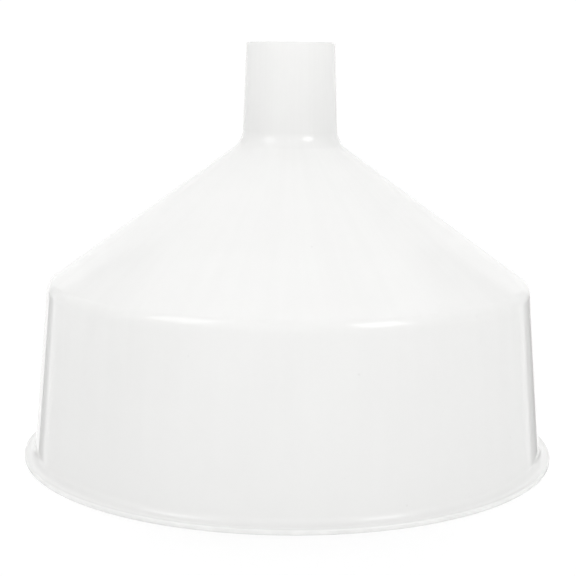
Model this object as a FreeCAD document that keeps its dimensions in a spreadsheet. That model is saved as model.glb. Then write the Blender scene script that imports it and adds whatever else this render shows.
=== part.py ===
import FreeCAD, Part
import math
import os
import Sketcher

# A canning funnel: one thin-walled polypropylene moulding, standing on its wide rim with the
# spout up. +Z runs up the axis of the funnel, and the origin is the middle of the circle on
# which the rim stands. All lengths are in millimetres and all angles in degrees.

doc = FreeCAD.newDocument("CanningFunnel")

SIZES = {
    "rim_diameter": 254.0,      # over the outside of the flange, a ten inch funnel
    "height": 195.0,            # from the face of the rim to the spout's tip
    "flange_width": 4.6,        # how far the flange stands out from the foot of the wall
    "flange_thickness": 2.2,
    "bowl_height": 83.0,        # up to the sharp corner between the bowl's wall and the cone
    "bowl_draft": 5.15,         # lean of the bowl's wall, for release from the mould
    "spout_length": 46.0,       # from the sharp corner at the neck to the tip
    "spout_tip_diameter": 42.0,
    "spout_draft": 2.05,        # lean of the spout, for release and to seat in a jar's neck
    "wall": 1.8,                # the same everywhere in the shell
    "shoulder_round": 7.0,      # outside radius where the bowl turns into the cone
    "neck_round": 9.8,          # outside radius where the cone turns into the spout
    "root_round": 4.0,          # between the flange's upper face and the bowl's wall
    "flange_edge_round": 0.8,   # on both outer edges of the flange
    "mouth_round": 0.6,         # on the inner edge of the standing face
    "tip_round": 0.6,           # on both edges of the spout's tip
}

sheet = doc.addObject("Spreadsheet::Sheet", "Sizes")
for row, (alias, size) in enumerate(SIZES.items(), start=1):
    sheet.set(f"A{row}", alias)
    sheet.set(f"B{row}", str(size))
    sheet.setAlias(f"B{row}", alias)
doc.recompute()

# Places that both sections use, worked out from the sizes.
BASE = "0"
RIM_RADIUS = "Sizes.rim_diameter / 2"
FOOT_RADIUS = f"{RIM_RADIUS} - Sizes.flange_width"
SHOULDER_RADIUS = f"{FOOT_RADIUS} - Sizes.bowl_height * tan(Sizes.bowl_draft * 1 deg)"
TIP_RADIUS = "Sizes.spout_tip_diameter / 2"
NECK_RADIUS = f"{TIP_RADIUS} + Sizes.spout_length * tan(Sizes.spout_draft * 1 deg)"
NECK_HEIGHT = "Sizes.height - Sizes.spout_length"

START, END = 1, 2                # the two ends of a sketched line
ORIGIN = (-1, 1)                 # the sketch's own origin
ACROSS = -1                      # the sketch's own axis along the standing face


def number(expression):
    """What an expression on the sheet comes to."""
    return float(sheet.evalExpression(expression))


def origin_feature(body, role):
    """The plane or axis of a body's own origin that has this role."""
    return next(item for item in body.Origin.OriginFeatures if item.Role == role)


def upright_sketch(body, name):
    """A sketch through the axis of the funnel: across is +X, and up is +Z."""
    sketch = body.newObject("Sketcher::SketchObject", name)
    sketch.AttachmentSupport = [(origin_feature(body, "XZ_Plane"), "")]
    sketch.MapMode = "FlatFace"
    return sketch


def closed_outline(sketch, corners):
    """Draws straight lines from corner to corner and back to the first, joined at their ends."""
    points = [FreeCAD.Vector(across, up, 0) for across, up in corners]
    for start, end in zip(points, points[1:] + points[:1]):
        sketch.addGeometry(Part.LineSegment(start, end), False)
    for line in range(len(points)):
        following = (line + 1) % len(points)
        sketch.addConstraint(Sketcher.Constraint("Coincident", line, END, following, START))


def bind(sketch, kind, places, expression):
    """Adds a sized constraint between places on the sketch and binds it to the sheet."""
    index = sketch.addConstraint(Sketcher.Constraint(kind, *places, number(expression)))
    sketch.setExpression(f"Constraints[{index}]", expression)


def place_corner(sketch, line, radius, height):
    """Ties the start of a line to a radius from the axis and a height above the rim's face."""
    bind(sketch, "DistanceX", (*ORIGIN, line, START), radius)
    if height == BASE:
        sketch.addConstraint(Sketcher.Constraint("PointOnObject", line, START, ACROSS))
    else:
        bind(sketch, "DistanceY", (*ORIGIN, line, START), height)


def revolve(body, sketch, name):
    """Turns a sketch once round the axis of the funnel, adding to the body."""
    turned = body.newObject("PartDesign::Revolution", name)
    turned.Profile = sketch
    turned.ReferenceAxis = (origin_feature(body, "Z_Axis"), [""])
    turned.Angle = 360.0
    doc.recompute()
    return turned


def ring_edge(shape, corner):
    """The name of the round edge that passes nearest to this corner of the section."""
    rings = []
    for index, edge in enumerate(shape.Edges, start=1):
        if isinstance(edge.Curve, Part.Circle):
            ring = edge.Curve
            gap = math.hypot(ring.Radius - corner.x, ring.Center.z - corner.y)
            rings.append((gap, f"Edge{index}"))
    return min(rings)[1]


def round_edges(body, base, name, corners, radius):
    """Rounds the edges at these corners of the section, each by the same radius."""
    fillet = body.newObject("PartDesign::Fillet", name)
    fillet.Base = (base, [ring_edge(base.Shape, corner) for corner in corners])
    fillet.setExpression("Radius", radius)
    doc.recompute()
    return fillet


funnel = doc.addObject("PartDesign::Body", "Funnel")
funnel.Label = "funnel"

# The shell: bowl wall, cone and spout in one section of even thickness. Its outside is four
# corners from the foot to the tip. The inner lines run parallel, a wall's thickness inside.
outside = [
    (FOOT_RADIUS, BASE),
    (SHOULDER_RADIUS, "Sizes.bowl_height"),
    (NECK_RADIUS, NECK_HEIGHT),
    (TIP_RADIUS, "Sizes.height"),
]
outer_corners = [(number(radius), number(height)) for radius, height in outside]
inner_corners = [(radius - SIZES["wall"], height - SIZES["wall"]) for radius, height in outer_corners]
section = upright_sketch(funnel, "WallSection")
closed_outline(section, outer_corners + inner_corners[::-1])
BOWL, CONE, SPOUT, TIP, BORE, CONE_INSIDE, BOWL_INSIDE, FOOT = range(8)
for line, (radius, height) in zip((BOWL, CONE, SPOUT, TIP), outside):
    place_corner(section, line, radius, height)
for level in (TIP, FOOT):
    section.addConstraint(Sketcher.Constraint("Horizontal", level))
for inner, outer in ((BORE, SPOUT), (CONE_INSIDE, CONE), (BOWL_INSIDE, BOWL)):
    section.addConstraint(Sketcher.Constraint("Parallel", inner, outer))
    bind(section, "Distance", (inner, START, outer), "Sizes.wall")
shell = revolve(funnel, section, "Shell")

# The flange: a flat ring round the foot of the bowl, which stiffens the rim. Its section
# starts in the middle of the wall, so that the two join along the whole ring.
BURIED_RADIUS = f"{FOOT_RADIUS} - Sizes.wall / 2"
ring = [
    (BURIED_RADIUS, BASE),
    (RIM_RADIUS, BASE),
    (RIM_RADIUS, "Sizes.flange_thickness"),
    (BURIED_RADIUS, "Sizes.flange_thickness"),
]
flange_section = upright_sketch(funnel, "FlangeSection")
closed_outline(flange_section, [(number(radius), number(height)) for radius, height in ring])
UNDERSIDE, OUTER_EDGE, UPPER_FACE, BURIED_EDGE = range(4)
for line in (UNDERSIDE, OUTER_EDGE, UPPER_FACE):
    place_corner(flange_section, line, *ring[line])
flange_section.addConstraint(Sketcher.Constraint("Horizontal", UPPER_FACE))
flange_section.addConstraint(Sketcher.Constraint("Vertical", BURIED_EDGE))
flange = revolve(funnel, flange_section, "Flange")

# The wall leans in as it rises, so it meets the flange's upper face a little inside its foot.
root = FreeCAD.Vector(
    number(f"{FOOT_RADIUS} - Sizes.flange_thickness * tan(Sizes.bowl_draft * 1 deg)"),
    SIZES["flange_thickness"],
    0,
)


def corner(sketch, line):
    """Where a line of a section starts, once the sketch is solved."""
    return sketch.getPoint(line, START)


# Every bend keeps the wall's thickness: the inside of the shoulder is tighter than its
# outside by one wall, and the inside of the neck is wider than its outside by one wall.
ROUNDS = (
    ("ShoulderOutside", [corner(section, CONE)], "Sizes.shoulder_round"),
    ("ShoulderInside", [corner(section, BOWL_INSIDE)], "Sizes.shoulder_round - Sizes.wall"),
    ("NeckOutside", [corner(section, SPOUT)], "Sizes.neck_round"),
    ("NeckInside", [corner(section, CONE_INSIDE)], "Sizes.neck_round + Sizes.wall"),
    ("FlangeRoot", [root], "Sizes.root_round"),
    ("FlangeEdges",
     [corner(flange_section, OUTER_EDGE), corner(flange_section, UPPER_FACE)],
     "Sizes.flange_edge_round"),
    ("MouthEdge", [corner(section, FOOT)], "Sizes.mouth_round"),
    ("TipEdges", [corner(section, TIP), corner(section, BORE)], "Sizes.tip_round"),
)
feature = flange
for name, corners, radius in ROUNDS:
    feature = round_edges(funnel, feature, name, corners, radius)
funnel.Tip = feature
doc.recompute()

for item in doc.Objects:
    if {"Invalid", "Error"} & set(item.State):
        raise RuntimeError(f"{item.Name} did not build: {item.State}")
for sketch in (section, flange_section):
    if sketch.solve() != 0 or sketch.DoF != 0:
        raise RuntimeError(f"{sketch.Name} is not fully set by its sizes")
if flange.Shape.Volume <= shell.Shape.Volume:
    raise RuntimeError("the flange added nothing to the shell")

solid = funnel.Shape
if solid.isNull() or not solid.isValid() or len(solid.Solids) != 1:
    raise RuntimeError(f"{funnel.Label} is not one valid solid")
os.makedirs("parts", exist_ok=True)
solid.exportStep(f"parts/{funnel.Label}.step")
print(f"{funnel.Label}: {solid.Volume / 1000:.2f} cm3")
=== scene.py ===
import math

import bmesh
import bpy
from mathutils import Matrix, Vector


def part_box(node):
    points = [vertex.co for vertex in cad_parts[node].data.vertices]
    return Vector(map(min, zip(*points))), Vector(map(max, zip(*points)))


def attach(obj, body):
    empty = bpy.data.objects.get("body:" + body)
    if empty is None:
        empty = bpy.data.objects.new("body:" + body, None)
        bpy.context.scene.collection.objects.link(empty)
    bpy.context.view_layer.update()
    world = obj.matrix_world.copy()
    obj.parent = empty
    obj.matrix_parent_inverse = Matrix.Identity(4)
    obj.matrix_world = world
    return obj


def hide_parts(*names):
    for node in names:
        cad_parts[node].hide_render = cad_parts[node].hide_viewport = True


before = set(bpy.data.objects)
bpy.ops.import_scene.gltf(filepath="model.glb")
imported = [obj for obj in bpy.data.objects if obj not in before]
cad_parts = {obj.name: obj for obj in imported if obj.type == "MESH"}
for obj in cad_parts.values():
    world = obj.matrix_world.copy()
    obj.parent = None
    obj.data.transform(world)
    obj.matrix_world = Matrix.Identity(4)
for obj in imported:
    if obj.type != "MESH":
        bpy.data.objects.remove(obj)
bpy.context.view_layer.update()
bpy.ops.object.select_all(action="DESELECT")

MM = 0.001

# ---------------------------------------------------------------------------------------
# The funnel: one thin shell of natural polypropylene, injection moulded in one shot. It
# stands on its wide rim, where a flat flange stiffens the edge, and rises as a leaning bowl
# wall, a straight cone and a short tapered spout, all of one wall thickness.

SIDES = 384                         # faces round the funnel
WALL = 1.8 * MM
FLANGE_WIDTH = 4.6 * MM
FLANGE_THICKNESS = 2.2 * MM
BOWL_HEIGHT = 83 * MM
BOWL_DRAFT = math.radians(5.15)
SPOUT_LENGTH = 46 * MM
TIP_RADIUS = 21 * MM
SPOUT_DRAFT = math.radians(2.05)
SHOULDER_ROUND = 7 * MM
NECK_ROUND = 9.8 * MM
ROOT_ROUND = 4 * MM
FLANGE_EDGE_ROUND = 0.8 * MM
MOUTH_ROUND = 0.6 * MM
TIP_ROUND = 0.6 * MM
FACES_ACROSS_TURN = 14              # along the shoulder's and the neck's rounding
FACES_ACROSS_ROOT = 10
FACES_ACROSS_EDGE = 5
FACES_ACROSS_LIP = 4
RADIUS_MARGIN = 0.15 * MM           # how near a corner has to be to belong to a ring
HEIGHT_MARGIN = 0.02 * MM
END_BAND = 1 * MM                   # how near an end a corner has to be to belong to it

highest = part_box("funnel")[1]
rim_radius, height = highest.x, highest.z
foot_radius = rim_radius - FLANGE_WIDTH
shoulder_radius = foot_radius - BOWL_HEIGHT * math.tan(BOWL_DRAFT)
neck_height = height - SPOUT_LENGTH
neck_radius = TIP_RADIUS + SPOUT_LENGTH * math.tan(SPOUT_DRAFT)
cone_slope = math.atan2(neck_height - BOWL_HEIGHT, shoulder_radius - neck_radius)


def select_rings(piece, *rings):
    """Selects, in edit mode, the edges that run round the axis at these radii and heights."""
    bpy.ops.mesh.select_all(action="DESELECT")
    bpy.ops.mesh.select_mode(type="EDGE")
    mesh = bmesh.from_edit_mesh(piece.data)
    for edge in mesh.edges:
        for radius, up in rings:
            if all(abs(math.hypot(*corner.co.xy) - radius) < RADIUS_MARGIN
                   and abs(corner.co.z - up) < HEIGHT_MARGIN for corner in edge.verts):
                edge.select = True
    mesh.select_flush_mode()
    bmesh.update_edit_mesh(piece.data)


def round_rings(piece, radius, turn, segments, *rings):
    """Rounds those rings of edges, where the section turns by this angle."""
    select_rings(piece, *rings)
    bpy.ops.mesh.bevel(offset=radius * math.tan(turn / 2), segments=segments, profile=0.5,
                       affect="EDGES", clamp_overlap=True)


bpy.ops.mesh.primitive_circle_add(vertices=SIDES, radius=foot_radius, location=(0, 0, 0))
funnel = bpy.context.object
funnel.name = funnel.data.name = "funnel_shell"

bpy.ops.object.mode_set(mode="EDIT")
bpy.ops.mesh.select_all(action="SELECT")
at_radius, at_height = foot_radius, 0.0
flange_top_radius = foot_radius - FLANGE_THICKNESS * math.tan(BOWL_DRAFT)
for radius, up in ((flange_top_radius, FLANGE_THICKNESS), (shoulder_radius, BOWL_HEIGHT),
                   (neck_radius, neck_height), (TIP_RADIUS, height)):
    bpy.ops.mesh.extrude_region_move(TRANSFORM_OT_translate={"value": (0, 0, up - at_height)})
    scale = radius / at_radius
    bpy.ops.transform.resize(value=(scale, scale, 1), center_override=(0, 0, 0))
    at_radius, at_height = radius, up

right_angle = math.pi / 2
round_rings(funnel, SHOULDER_ROUND, right_angle - BOWL_DRAFT - cone_slope, FACES_ACROSS_TURN,
            (shoulder_radius, BOWL_HEIGHT))
round_rings(funnel, NECK_ROUND, right_angle - SPOUT_DRAFT - cone_slope, FACES_ACROSS_TURN,
            (neck_radius, neck_height))
bpy.ops.mesh.select_all(action="SELECT")
bpy.ops.mesh.normals_make_consistent(inside=False)
bpy.ops.object.mode_set(mode="OBJECT")

wall = funnel.modifiers.new("Wall", "SOLIDIFY")
wall.thickness = WALL
wall.offset = -1
wall.use_even_offset = True
bpy.ops.object.modifier_apply(modifier=wall.name)

bpy.ops.object.mode_set(mode="EDIT")
inner_foot_radius = foot_radius - WALL / math.cos(BOWL_DRAFT)
inner_tip_radius = TIP_RADIUS - WALL / math.cos(SPOUT_DRAFT)


def flatten_end(piece, up):
    """Brings the corners near this end of the shell to one height."""
    bpy.ops.mesh.select_all(action="DESELECT")
    bpy.ops.mesh.select_mode(type="VERT")
    mesh = bmesh.from_edit_mesh(piece.data)
    for corner in mesh.verts:
        corner.select = abs(corner.co.z - up) < END_BAND
    mesh.select_flush_mode()
    bmesh.update_edit_mesh(piece.data)
    bpy.ops.transform.resize(value=(1, 1, 0), center_override=(0, 0, up))


flatten_end(funnel, 0)
flatten_end(funnel, height)

# The flange grows out of the lowest band of outward faces, and its outer edge is set upright.
bpy.ops.mesh.select_all(action="DESELECT")
bpy.ops.mesh.select_mode(type="FACE")
mesh = bmesh.from_edit_mesh(funnel.data)
for face in mesh.faces:
    middle = face.calc_center_median()
    outward_and_upright = face.normal.dot(middle) > 0 and abs(face.normal.z) < 0.5
    if middle.z < FLANGE_THICKNESS and outward_and_upright:
        face.select = True
bmesh.update_edit_mesh(funnel.data)
bpy.ops.mesh.extrude_region_move(TRANSFORM_OT_translate={"value": (0, 0, 0)})
scale = rim_radius / foot_radius
bpy.ops.transform.resize(value=(scale, scale, 1), center_override=(0, 0, 0))

edge_top_radius = flange_top_radius * scale
select_rings(funnel, (edge_top_radius, FLANGE_THICKNESS))
scale = rim_radius / edge_top_radius
bpy.ops.transform.resize(value=(scale, scale, 1), center_override=(0, 0, 0))

round_rings(funnel, ROOT_ROUND, right_angle - BOWL_DRAFT, FACES_ACROSS_ROOT,
            (flange_top_radius, FLANGE_THICKNESS))
round_rings(funnel, FLANGE_EDGE_ROUND, right_angle, FACES_ACROSS_EDGE,
            (rim_radius, 0), (rim_radius, FLANGE_THICKNESS))
round_rings(funnel, MOUTH_ROUND, right_angle, FACES_ACROSS_LIP, (inner_foot_radius, 0))
round_rings(funnel, TIP_ROUND, right_angle, FACES_ACROSS_LIP,
            (TIP_RADIUS, height), (inner_tip_radius, height))
bpy.ops.object.mode_set(mode="OBJECT")

bpy.ops.object.shade_smooth()
even = funnel.modifiers.new("EvenShading", "WEIGHTED_NORMAL")
even.mode = "FACE_AREA"
even.weight = 100
bpy.ops.object.modifier_apply(modifier=even.name)


# The plastic: natural polypropylene, unpigmented and moulded against a polished steel tool. It
# looks milky and evenly lit through: a soft body under a clear, waxy skin that mirrors the room
# faintly. The melt's flow leaves weak streaks down it, and its edges are rubbed duller and greyer.
CLEAR_MILK = "#FEFEFD"
CLOUDED_MILK = "#FCFCFB"
RIM_SHADE_MILK = "#F8F8F7"                # painted shade: the wall's colour darkens towards the rim, where its lower part lies in shade
RUBBED_MILK = "#F8F8F7"
# painted shade on the flange and in the corner above it
CORNER_SHADE_GREY = "#F1F1F0"
SPECK_GREY = "#F3F3F2"
POLYPROPYLENE_IOR = 1.49
LIGHT_LET_THROUGH = 0.30
BODY_ROUGHNESS = 0.43, 0.48         # clear milk, clouded milk
RUBBED_ROUGHNESS = 0.6
SKIN_ROUGHNESS = 0.03
STREAK_WIDTH = 6 * MM               # the real ones are about 2 mm, too fine to show
STREAK_LENGTH = 90 * MM
CLOUD_SIZE = 28 * MM
GRAIN_SIZE = 0.9 * MM               # the tool's real grain is about 0.2 mm
RELIEF_DEPTH = 0.02 * MM
SPECK_SPACING = 16 * MM
SPECK_RADIUS = 0.8 * MM
RIM_SHADE_HEIGHT = 75 * MM
CORNER_SHADE_HEIGHT = 2.3 * MM, 5 * MM     # full up to the first, gone at the second
CORNER_SHADE_AT_LEAST = 0.7                # its strength where the painted shade is weakest
CORNER_SHADE_NOISE = 0.3, 0.6              # the clouds' noise where the painted shade is weakest and strongest
CLOUDING_NOISE = 0.75, 1.25         # streaks' and clouds' noise added, where clear and clouded
RUB_WIDTH = 0.9 * MM
RUB_PATCH = 9 * MM
RUB_NOISE = 0.42, 0.62              # the patches' noise where an edge is untouched and rubbed


def linear(hex_colour):
    """An sRGB hex colour as the linear colour that a shader takes."""
    colour = []
    for start in (1, 3, 5):
        part = int(hex_colour[start:start + 2], 16) / 255
        colour.append(part / 12.92 if part <= 0.04045 else ((part + 0.055) / 1.055) ** 2.4)
    return (*colour, 1.0)


def add_node(tree, kind, settings=None, inputs=None):
    """Adds a node with its settings, and its inputs as plain values or as links."""
    node = tree.nodes.new(kind)
    for key, value in (settings or {}).items():
        setattr(node, key, value)
    for key, value in (inputs or {}).items():
        if isinstance(value, bpy.types.NodeSocket):
            tree.links.new(value, node.inputs[key])
        else:
            node.inputs[key].default_value = value
    return node


plastic = bpy.data.materials.new("natural_moulded_polypropylene")
plastic.use_nodes = True
milk = plastic.node_tree
milk.nodes.clear()
place = add_node(milk, "ShaderNodeTexCoord").outputs["Object"]
x, y, z = add_node(milk, "ShaderNodeSeparateXYZ", inputs={0: place}).outputs

# Streaks of flow run down the funnel from the gate at the spout, so they are read by the
# direction from the axis, which is the same all the way down, and stretched along the height.
outward = add_node(milk, "ShaderNodeCombineXYZ", inputs={0: x, 1: y}).outputs[0]
from_axis = add_node(milk, "ShaderNodeVectorMath", {"operation": "LENGTH"}, {
    0: outward}).outputs[1]
bearing = add_node(milk, "ShaderNodeVectorMath", {"operation": "NORMALIZE"}, {
    0: outward}).outputs[0]
stretch = STREAK_WIDTH / STREAK_LENGTH / shoulder_radius
down = add_node(milk, "ShaderNodeVectorMath", {"operation": "MULTIPLY"}, {
    0: place, 1: (0, 0, stretch)}).outputs[0]
flow_place = add_node(milk, "ShaderNodeVectorMath", {"operation": "ADD"}, {
    0: bearing, 1: down}).outputs[0]
streaks = add_node(milk, "ShaderNodeTexNoise", inputs={
    "Vector": flow_place, "Scale": shoulder_radius / STREAK_WIDTH, "Detail": 2.0}).outputs[0]
clouds = add_node(milk, "ShaderNodeTexNoise", inputs={
    "Vector": place, "Scale": 1 / CLOUD_SIZE, "Detail": 3.0}).outputs[0]
uneven = add_node(milk, "ShaderNodeMath", {"operation": "ADD"}, {0: streaks, 1: clouds}).outputs[0]
clouding = add_node(milk, "ShaderNodeMapRange", inputs={
    "Value": uneven, "From Min": CLOUDING_NOISE[0], "From Max": CLOUDING_NOISE[1]}).outputs[0]
clear_or_clouded = add_node(milk, "ShaderNodeMix", {"data_type": "RGBA"}, {
    0: clouding, 6: linear(CLEAR_MILK), 7: linear(CLOUDED_MILK)}).outputs[2]
# Painted shade: below 75 mm the colour grows steadily darker down to the rim, standing in for the
# shade on the lower wall.
from_rim = add_node(milk, "ShaderNodeMapRange", inputs={
    "Value": z, "From Min": RIM_SHADE_HEIGHT, "From Max": 0.0}).outputs[0]
rim_shaded_milk = add_node(milk, "ShaderNodeMix", {"data_type": "RGBA"}, {
    0: from_rim, 6: clear_or_clouded, 7: linear(RIM_SHADE_MILK)}).outputs[2]
body_roughness = add_node(milk, "ShaderNodeMapRange", inputs={
    "Value": clouding, "To Min": BODY_ROUGHNESS[0], "To Max": BODY_ROUGHNESS[1]}).outputs[0]

# Painted shade: the flange and the corner above it are coloured grey in cloudy patches, standing
# in for the shade round the funnel's foot.
low = add_node(milk, "ShaderNodeMapRange", {"interpolation_type": "SMOOTHSTEP"}, {
    "Value": z, "From Min": CORNER_SHADE_HEIGHT[1], "From Max": CORNER_SHADE_HEIGHT[0]}).outputs[0]
shade_patches = add_node(milk, "ShaderNodeMapRange", inputs={
    "Value": clouds, "From Min": CORNER_SHADE_NOISE[0], "From Max": CORNER_SHADE_NOISE[1],
    "To Min": CORNER_SHADE_AT_LEAST}).outputs[0]
corner_shade = add_node(milk, "ShaderNodeMath", {"operation": "MULTIPLY"}, {0: low, 1: shade_patches}).outputs[0]
with_painted_shade = add_node(milk, "ShaderNodeMix", {"data_type": "RGBA"}, {
    0: corner_shade, 6: rim_shaded_milk, 7: linear(CORNER_SHADE_GREY)}).outputs[2]

# The flange's edge, the face it stands on and the spout's tip rub on tables and jars, in
# patches.
rim_rub = add_node(milk, "ShaderNodeMapRange", inputs={
    "Value": from_axis, "From Min": rim_radius - RUB_WIDTH, "From Max": rim_radius}).outputs[0]
foot_rub = add_node(milk, "ShaderNodeMapRange", inputs={
    "Value": z, "From Min": RUB_WIDTH / 2, "From Max": 0.0}).outputs[0]
tip_rub = add_node(milk, "ShaderNodeMapRange", inputs={
    "Value": z, "From Min": height - RUB_WIDTH, "From Max": height}).outputs[0]
end_rub = add_node(milk, "ShaderNodeMath", {"operation": "MAXIMUM"}, {
    0: foot_rub, 1: tip_rub}).outputs[0]
edges = add_node(milk, "ShaderNodeMath", {"operation": "MAXIMUM"}, {
    0: rim_rub, 1: end_rub}).outputs[0]
patches = add_node(milk, "ShaderNodeTexNoise", inputs={
    "Vector": place, "Scale": 1 / RUB_PATCH, "Detail": 2.0}).outputs[0]
patchy = add_node(milk, "ShaderNodeMapRange", inputs={
    "Value": patches, "From Min": RUB_NOISE[0], "From Max": RUB_NOISE[1]}).outputs[0]
rub = add_node(milk, "ShaderNodeMath", {"operation": "MULTIPLY"}, {0: edges, 1: patchy}).outputs[0]
rubbed = add_node(milk, "ShaderNodeMix", {"data_type": "RGBA"}, {
    0: rub, 6: with_painted_shade, 7: linear(RUBBED_MILK)}).outputs[2]
roughness = add_node(milk, "ShaderNodeMix", inputs={
    0: rub, 2: body_roughness, 3: RUBBED_ROUGHNESS}).outputs[0]

# Specks of dust in the melt lie far apart, each in a small pit of its own.
cells = add_node(milk, "ShaderNodeTexVoronoi", inputs={
    "Vector": place, "Scale": 1 / SPECK_SPACING})
speck = add_node(milk, "ShaderNodeMapRange", inputs={
    "Value": cells.outputs["Distance"], "From Min": SPECK_RADIUS / SPECK_SPACING,
    "From Max": SPECK_RADIUS / SPECK_SPACING / 3}).outputs[0]
specked = add_node(milk, "ShaderNodeMix", {"data_type": "RGBA"}, {
    0: speck, 6: rubbed, 7: linear(SPECK_GREY)}).outputs[2]

grain = add_node(milk, "ShaderNodeTexNoise", inputs={
    "Vector": place, "Scale": 1 / GRAIN_SIZE, "Detail": 2.0}).outputs[0]
relief = add_node(milk, "ShaderNodeMath", {"operation": "SUBTRACT"}, {
    0: grain, 1: speck}).outputs[0]
bumps = add_node(milk, "ShaderNodeBump", inputs={
    "Distance": RELIEF_DEPTH, "Height": relief}).outputs[0]

shader = add_node(milk, "ShaderNodeBsdfPrincipled", inputs={
    "Base Color": specked, "Roughness": roughness, "IOR": POLYPROPYLENE_IOR,
    "Specular IOR Level": 0.0, "Transmission Weight": LIGHT_LET_THROUGH, "Normal": bumps,
    "Coat Weight": 1.0, "Coat Roughness": SKIN_ROUGHNESS, "Coat IOR": POLYPROPYLENE_IOR})
add_node(milk, "ShaderNodeOutputMaterial", inputs={"Surface": shader.outputs[0]})
funnel.data.materials.append(plastic)

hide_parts("funnel")
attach(funnel, "root")

# ---------------------------------------------------------------------------------------
# The table: white matt paper on a glass top, lit from below as well as from above and more so
# behind the funnel, so that it stays white all round and takes no shadow. It's only a stage.

TABLE_SIZE = 40.0
TABLE_WHITE = "#BCBCBC"             # with its glow it shows as white
TABLE_ROUGHNESS = 0.9
GLOW_IN_FRONT = 0.455
GLOW_BEHIND = 0.55
GLOW_STEP = -0.16, -0.02            # from front to back, where the one turns into the other

bpy.ops.mesh.primitive_plane_add(size=TABLE_SIZE, location=(0, 0, 0))
table = bpy.context.object
table.name = "table"
table.visible_glossy = False
paper = bpy.data.materials.new("matt_white_paper")
paper.use_nodes = True
fibres = paper.node_tree
fibres.nodes.clear()
on_table = add_node(fibres, "ShaderNodeTexCoord").outputs["Object"]
depth = add_node(fibres, "ShaderNodeSeparateXYZ", inputs={0: on_table}).outputs[1]
lit_from_below = add_node(fibres, "ShaderNodeMapRange", {"interpolation_type": "SMOOTHSTEP"}, {
    "Value": depth, "From Min": GLOW_STEP[0], "From Max": GLOW_STEP[1],
    "To Min": GLOW_IN_FRONT, "To Max": GLOW_BEHIND}).outputs[0]
sheet = add_node(fibres, "ShaderNodeBsdfPrincipled", inputs={
    "Base Color": linear(TABLE_WHITE), "Roughness": TABLE_ROUGHNESS,
    "Specular IOR Level": 0.0, "Emission Color": (1, 1, 1, 1),
    "Emission Strength": lit_from_below})
add_node(fibres, "ShaderNodeOutputMaterial", inputs={"Surface": sheet.outputs[0]})
table.data.materials.append(paper)

# ---------------------------------------------------------------------------------------
# The surround: a lit white sweep that curves up behind the funnel and over it. Past its sides
# the room is dimmer, with a dark gap beside the sweep low down and a pale strip further out.
# Places in it are parts of a direction of length 1: how far that goes aside, back and up.

SWEEP = 1.05                        # how bright each part is
ROOM = 0.82
FRONT = 1.0
GAP = 0.33
GAP_ON_THE_RIGHT = 0.8 * GAP
GAP_FAR_SIDE = 1.3 * GAP
STRIP = 0.95
OVERHEAD = 1.10                     # straight up, as a share of the brightness lower down
SWEEP_SIDE = 0.50                   # how far aside each part ends or starts
RIGHT_GAP_START = 0.405
GAP_SIDE = 0.61
STRIP_SIDES = 0.645, 0.70
EDGE = 0.01                         # how soft the edges between them are
GAP_TOP = -0.14, 0.03               # between these heights the gap fades out
OVERHEAD_FADE = 0.6, 0.92           # between these it grows brighter overhead
FRONT_FADE = -0.3, -0.8             # between these depths the sides turn into the front
BACK_FADE = -0.12, 0.04             # and between these into the sweep and what is beside it

world = bpy.data.worlds.new("studio")
world.use_nodes = True
bpy.context.scene.world = world
room = world.node_tree
room.nodes.clear()
toward = add_node(room, "ShaderNodeTexCoord").outputs["Generated"]
across, back, up = add_node(room, "ShaderNodeSeparateXYZ", inputs={0: toward}).outputs
aside = add_node(room, "ShaderNodeMath", {"operation": "ABSOLUTE"}, {0: across}).outputs[0]

strip_and_room = ((STRIP_SIDES[0], STRIP), (STRIP_SIDES[1], STRIP),
                  (STRIP_SIDES[1] + 5 * EDGE, ROOM))
behind_at = {
    "low_left": ((SWEEP_SIDE - EDGE, SWEEP), (SWEEP_SIDE + EDGE / 2, GAP),
                 (GAP_SIDE, GAP_FAR_SIDE)) + strip_and_room,
    "low_right": ((RIGHT_GAP_START - EDGE / 2, SWEEP),
                  (RIGHT_GAP_START + EDGE, GAP_ON_THE_RIGHT),
                  (GAP_SIDE, GAP_FAR_SIDE)) + strip_and_room,
    "high_up": ((SWEEP_SIDE - 1.5 * EDGE, SWEEP), (SWEEP_SIDE - EDGE / 2, ROOM),
                (STRIP_SIDES[0] - EDGE, ROOM)) + strip_and_room,
}
brightness = {}
for part, stops in behind_at.items():
    ramp = add_node(room, "ShaderNodeValToRGB", inputs={"Fac": aside})
    elements = ramp.color_ramp.elements
    elements.remove(elements[1])
    elements[0].color = (SWEEP, SWEEP, SWEEP, 1)
    for across_room, bright in stops:
        elements.new(across_room).color = (bright, bright, bright, 1)
    brightness[part] = ramp.outputs["Color"]

to_the_right = add_node(room, "ShaderNodeMapRange", {"interpolation_type": "SMOOTHSTEP"}, {
    "Value": across, "From Min": -EDGE, "From Max": EDGE}).outputs[0]
low_down = add_node(room, "ShaderNodeMix", {"data_type": "RGBA"}, {
    0: to_the_right, 6: brightness["low_left"], 7: brightness["low_right"]}).outputs[2]
above_gap = add_node(room, "ShaderNodeMapRange", {"interpolation_type": "SMOOTHSTEP"}, {
    "Value": up, "From Min": GAP_TOP[0], "From Max": GAP_TOP[1]}).outputs[0]
behind = add_node(room, "ShaderNodeMix", {"data_type": "RGBA"}, {
    0: above_gap, 6: low_down, 7: brightness["high_up"]}).outputs[2]
well_forward = add_node(room, "ShaderNodeMapRange", {"interpolation_type": "SMOOTHSTEP"}, {
    "Value": back, "From Min": FRONT_FADE[0], "From Max": FRONT_FADE[1]}).outputs[0]
in_front = add_node(room, "ShaderNodeMix", {"data_type": "RGBA"}, {
    0: well_forward, 6: (ROOM, ROOM, ROOM, 1), 7: (FRONT, FRONT, FRONT, 1)}).outputs[2]
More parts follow.
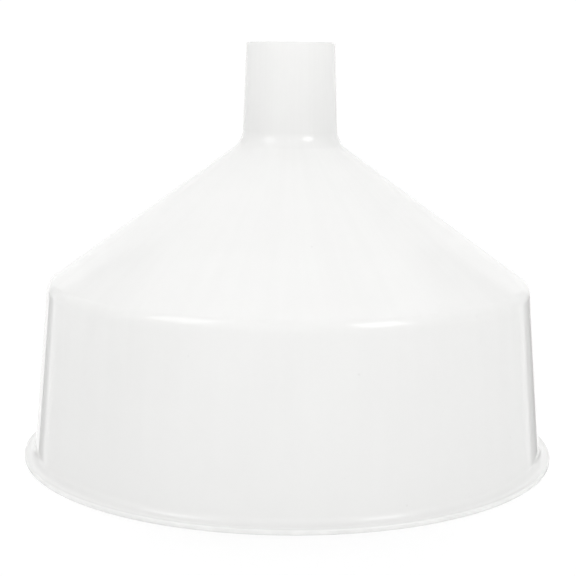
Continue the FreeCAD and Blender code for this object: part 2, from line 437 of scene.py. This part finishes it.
to_the_back = add_node(room, "ShaderNodeMapRange", {"interpolation_type": "SMOOTHSTEP"}, {
    "Value": back, "From Min": BACK_FADE[0], "From Max": BACK_FADE[1]}).outputs[0]
all_round = add_node(room, "ShaderNodeMix", {"data_type": "RGBA"}, {
    0: to_the_back, 6: in_front, 7: behind}).outputs[2]
lift = add_node(room, "ShaderNodeMapRange", {"interpolation_type": "SMOOTHSTEP"}, {
    "Value": up, "From Min": OVERHEAD_FADE[0], "From Max": OVERHEAD_FADE[1],
    "To Min": 1.0, "To Max": OVERHEAD}).outputs[0]
glow = add_node(room, "ShaderNodeBackground", inputs={"Color": all_round, "Strength": lift})
add_node(room, "ShaderNodeOutputWorld", inputs={"Surface": glow.outputs[0]})

# ---------------------------------------------------------------------------------------
# Two square soft lights stand in front of the funnel, one to each side. They give the two
# bright lines on the shoulder and the two on the neck.


def soft_light(name, azimuth, elevation, distance, size, power):
    """A square soft light that faces the funnel. Azimuth 0 is in front, 90 at the right."""
    turn = math.radians(azimuth)
    tilt = math.radians(elevation)
    way = Vector((math.sin(turn) * math.cos(tilt), -math.cos(turn) * math.cos(tilt),
                  math.sin(tilt)))
    aim = Vector((0, 0, height / 2))
    bpy.ops.object.light_add(type="AREA", location=aim + way * distance)
    light = bpy.context.object
    light.name = name
    light.data.size = size
    light.data.energy = power
    light.rotation_euler = way.to_track_quat("Z", "Y").to_euler()


soft_light("soft_left", azimuth=-54, elevation=39, distance=0.8, size=0.34, power=0.75)
soft_light("soft_right", azimuth=45.5, elevation=34.5, distance=1.2, size=0.44, power=1.9)

# ---------------------------------------------------------------------------------------
# The camera looks slightly down on the funnel from the front, from a little under its tip.

CAMERA_BACK = 0.62123
CAMERA_UP = 0.18443
CAMERA_SIDE = -0.0003
CAMERA_PITCH = math.radians(9.698)
CAMERA_ROLL = math.radians(0.540)
LENS = 81.5                         # its focal length and its frame's width in millimetres
FRAME_WIDTH = 36
SEES_AS_FAR_AS = 100                # past the table's far edge

bpy.ops.object.camera_add(location=(CAMERA_SIDE, -CAMERA_BACK, CAMERA_UP))
camera = bpy.context.object
camera.data.sensor_width = FRAME_WIDTH
camera.data.lens = LENS
camera.data.clip_end = SEES_AS_FAR_AS
pitched = Matrix.Rotation(right_angle - CAMERA_PITCH, 4, "X")
rolled = Matrix.Rotation(CAMERA_ROLL, 4, "Z")
camera.rotation_euler = (pitched @ rolled).to_euler()
bpy.context.scene.camera = camera
bpy.context.scene.view_settings.view_transform = "Standard"
